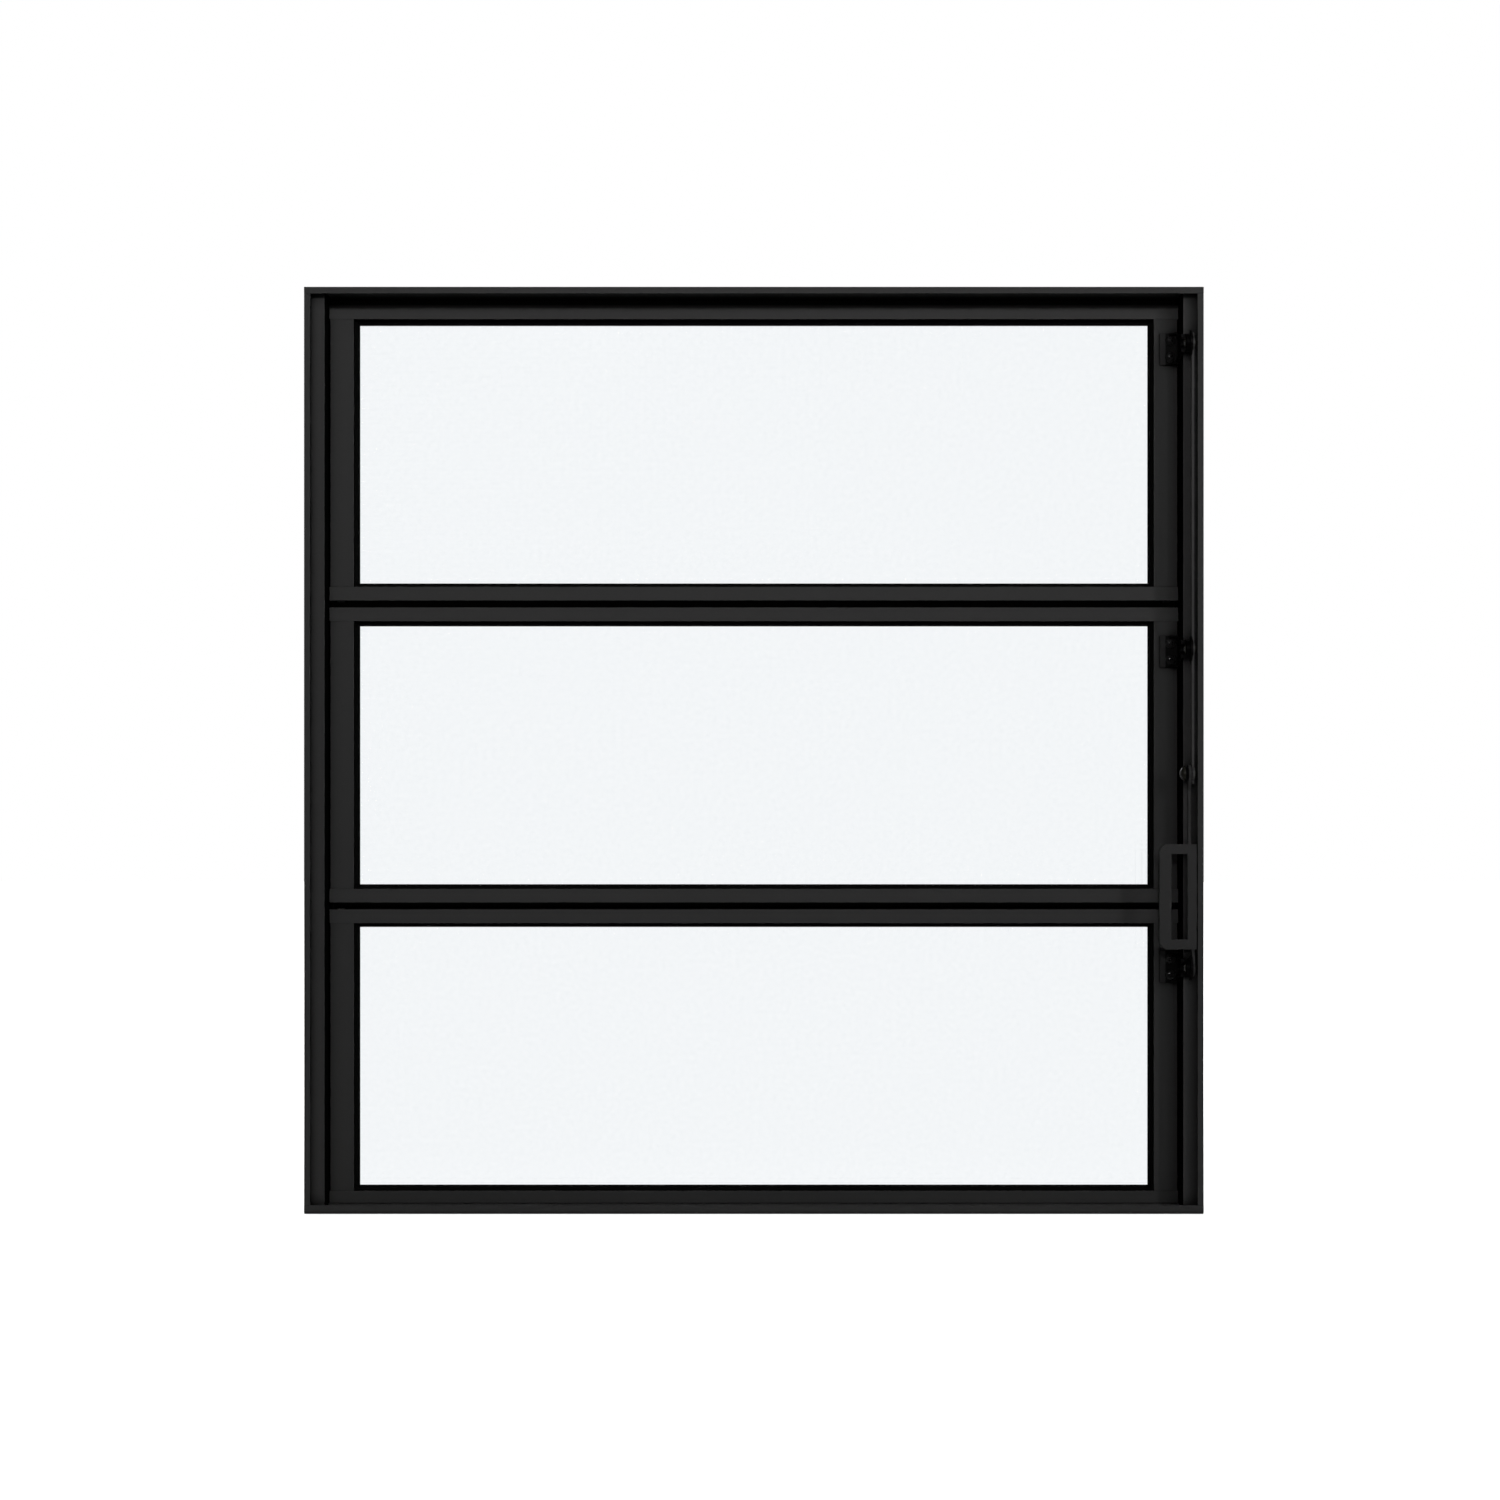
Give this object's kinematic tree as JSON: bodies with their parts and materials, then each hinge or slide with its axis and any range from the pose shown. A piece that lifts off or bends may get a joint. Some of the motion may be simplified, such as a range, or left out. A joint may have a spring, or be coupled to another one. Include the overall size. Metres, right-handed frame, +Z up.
{
  "type": "horizontally pivoted window",
  "caption": "Metal-framed window of stacked obscured-glass vanes on horizontal pivots, tilted together by a side bar with moulded arms and a pull ring on a lever.",
  "frame": {"origin": "middle of the sill's bottom face", "axes": "+Z up, +X towards the linkage side as seen from the room, +Y to the outside"},
  "size_m": [0.582, 0.0534, 0.6],
  "materials": {
    "frame_metal": "black satin powder coat",
    "vane_metal": "black satin powder coat",
    "link_metal": "black satin powder coat",
    "patterned_glass": "rolled obscuring pattern of small pillows",
    "rubber": "matt",
    "black_nylon": "moulded, slight sheen",
    "screw_steel": "zinc plated",
    "black_screw": "black",
    "rivet": "worn satin"
  },
  "bodies": {
    "frame": {"head_profile": "frame_metal", "sill_profile": "frame_metal", "left_jamb": "frame_metal", "right_jamb": "frame_metal", "frame_corner_screws": "screw_steel", "pivot_bushes": "black_nylon", "head_seal": "rubber", "sill_seal": "rubber"},
    "vane_1": {"vane_1_top_rail": "vane_metal", "vane_1_bottom_rail": "vane_metal", "vane_1_left_stile": "vane_metal", "vane_1_right_stile": "vane_metal", "vane_1_glass": "patterned_glass", "vane_1_gasket": "rubber", "vane_1_corner_screws": "screw_steel", "vane_1_pivot_pins": "screw_steel", "vane_1_arm": "black_nylon", "vane_1_arm_screws": "black_screw", "vane_1_lip_seal": "rubber"},
    "vane_2": {"vane_2_top_rail": "vane_metal", "vane_2_bottom_rail": "vane_metal", "vane_2_left_stile": "vane_metal", "vane_2_right_stile": "vane_metal", "vane_2_glass": "patterned_glass", "vane_2_gasket": "rubber", "vane_2_corner_screws": "screw_steel", "vane_2_pivot_pins": "screw_steel", "vane_2_arm": "black_nylon", "vane_2_arm_screws": "black_screw", "vane_2_lip_seal": "rubber"},
    "vane_3": {"vane_3_top_rail": "vane_metal", "vane_3_bottom_rail": "vane_metal", "vane_3_left_stile": "vane_metal", "vane_3_right_stile": "vane_metal", "vane_3_glass": "patterned_glass", "vane_3_gasket": "rubber", "vane_3_corner_screws": "screw_steel", "vane_3_pivot_pins": "screw_steel", "vane_3_arm": "black_nylon", "vane_3_arm_screws": "black_screw"},
    "link": {"link_bar": "link_metal", "handle_lever": "link_metal", "arm_rivets": "rivet", "lever_rivet": "rivet", "lever_washer": "black_nylon"}
  },
  "joints": [
    {"name": "vane_1_tilt", "type": "hinge", "parent": "frame", "child": "vane_1", "pos_m": [0, 0.008, 0.55576], "axis": [1, 0, 0], "range_deg": [0, 30]},
    {"name": "vane_2_tilt", "type": "hinge", "parent": "frame", "child": "vane_2", "pos_m": [0, 0.008, 0.35779], "axis": [1, 0, 0], "range_deg": [0, 30]},
    {"name": "vane_3_tilt", "type": "hinge", "parent": "frame", "child": "vane_3", "pos_m": [0, 0.008, 0.15143], "axis": [1, 0, 0], "range_deg": [0, 30]},
    {"name": "bar_pin", "type": "hinge", "parent": "vane_1", "child": "link", "pos_m": [0.2832, -0.022, 0.5638], "axis": [1, 0, 0], "range_deg": [-30, 0]}
  ],
  "couplings": [
    {"joint": "vane_2_tilt", "follows": "vane_1_tilt", "ratio": 1},
    {"joint": "vane_3_tilt", "follows": "vane_1_tilt", "ratio": 1},
    {"joint": "bar_pin", "follows": "vane_1_tilt", "ratio": -1}
  ]
}
